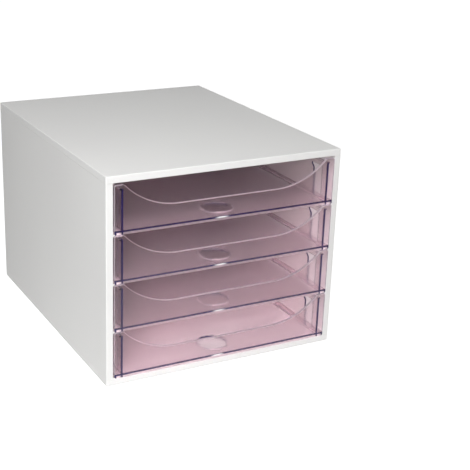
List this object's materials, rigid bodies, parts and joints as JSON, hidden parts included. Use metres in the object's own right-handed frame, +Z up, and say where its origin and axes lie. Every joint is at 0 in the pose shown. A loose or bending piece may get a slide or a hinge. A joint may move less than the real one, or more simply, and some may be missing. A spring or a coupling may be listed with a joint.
{
  "type": "drawer cabinet",
  "caption": "Desktop drawer cabinet: a closed box case with flat panels and shallow clear tinted drawers whose fronts are scooped for the hand, for storing papers.",
  "frame": {"origin": "middle of the footprint, on the surface the feet stand on", "axes": "+Z up, -Y out of the front, the way the drawers open, +X to the right seen from the front"},
  "size_m": [0.284, 0.348, 0.237],
  "materials": {
    "case": "fine matte moulded",
    "drawer": "polished clear tinted",
    "foot": "soft matte"
  },
  "bodies": {
    "case": {"top_panel": "case", "base_panel": "case", "left_side_panel": "case", "right_side_panel": "case", "back_panel": "case", "foot_front_left": "foot", "foot_front_right": "foot", "foot_back_left": "foot", "foot_back_right": "foot"},
    "drawer_1": {"drawer_1": "drawer"},
    "drawer_2": {"drawer_2": "drawer"},
    "drawer_3": {"drawer_3": "drawer"},
    "drawer_4": {"drawer_4": "drawer"}
  },
  "joints": [
    {"name": "drawer_1_slide", "type": "slide", "parent": "case", "child": "drawer_1", "axis": [0, -1, 0], "range_m": [0, 0.25]},
    {"name": "drawer_2_slide", "type": "slide", "parent": "case", "child": "drawer_2", "axis": [0, -1, 0], "range_m": [0, 0.25]},
    {"name": "drawer_3_slide", "type": "slide", "parent": "case", "child": "drawer_3", "axis": [0, -1, 0], "range_m": [0, 0.25]},
    {"name": "drawer_4_slide", "type": "slide", "parent": "case", "child": "drawer_4", "axis": [0, -1, 0], "range_m": [0, 0.25]}
  ]
}
